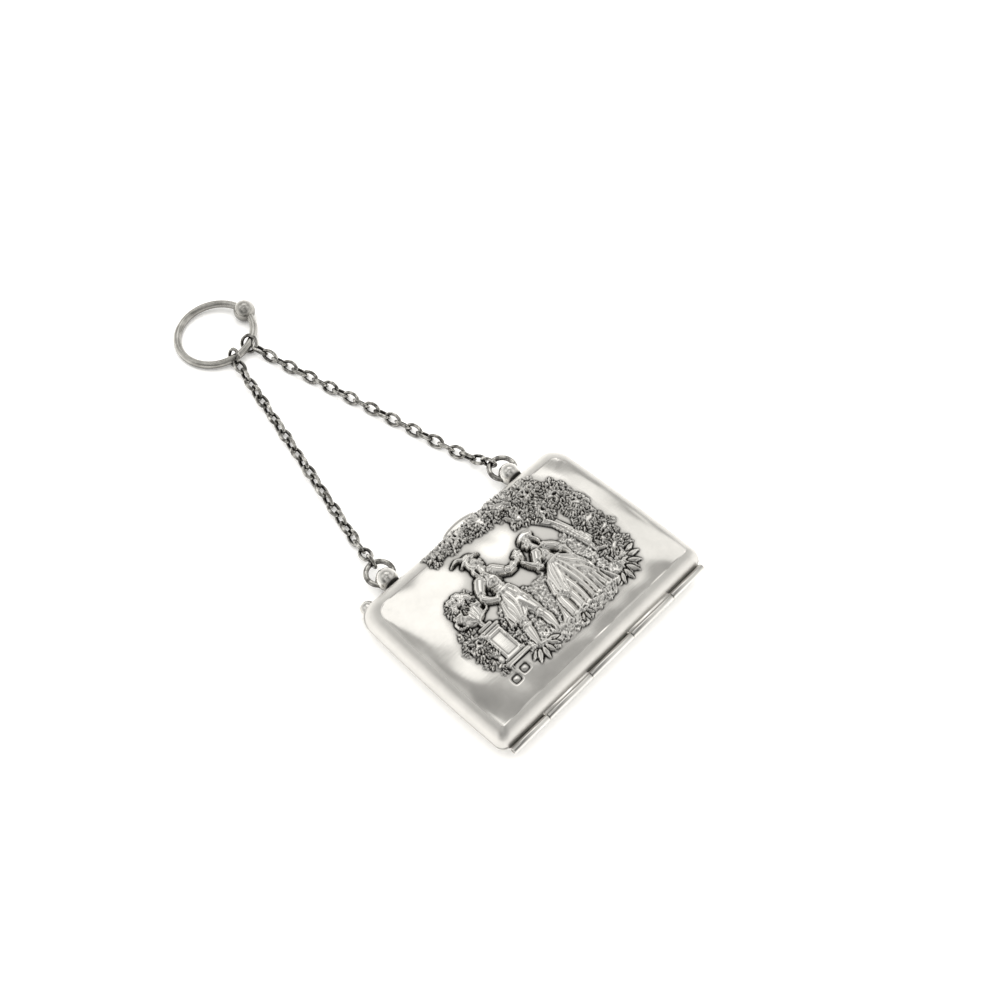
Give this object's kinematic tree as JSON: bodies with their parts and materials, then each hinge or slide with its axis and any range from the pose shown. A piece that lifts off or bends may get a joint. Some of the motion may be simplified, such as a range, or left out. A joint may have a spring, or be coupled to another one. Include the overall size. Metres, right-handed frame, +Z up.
{
  "type": "silver purse",
  "caption": "Hinged silver finger purse: a shallow cushion-shaped case with a raised garden scene, hung by two chains from a finger ring with a ball.",
  "frame": {"origin": "middle of the flat back that the purse rests on", "axes": "+X along the hinge, +Y from the hinge towards the chains and the finger ring, +Z up out of the relief"},
  "size_m": [0.0778, 0.1741, 0.014],
  "materials": {
    "bright_silver": "polished sterling silver, soft with handling, dark oxide left in the relief",
    "worn_silver": "drawn silver wire with a worn satin polish",
    "dark_silver": "silver wire dulled by tarnish, bright where links rub"
  },
  "bodies": {
    "back": {"back_shell": "bright_silver", "hinge_pin": "worn_silver", "jump_ring_left": "dark_silver", "jump_ring_right": "dark_silver", "chain_left": "dark_silver", "chain_right": "dark_silver", "finger_ring": "worn_silver"},
    "cover": {"front_shell": "bright_silver"}
  },
  "joints": [
    {"name": "cover_hinge", "type": "hinge", "parent": "back", "child": "cover", "pos_m": [0, -0.0286, 0.0065], "axis": [1, 0, 0], "range_deg": [0, 95]}
  ]
}
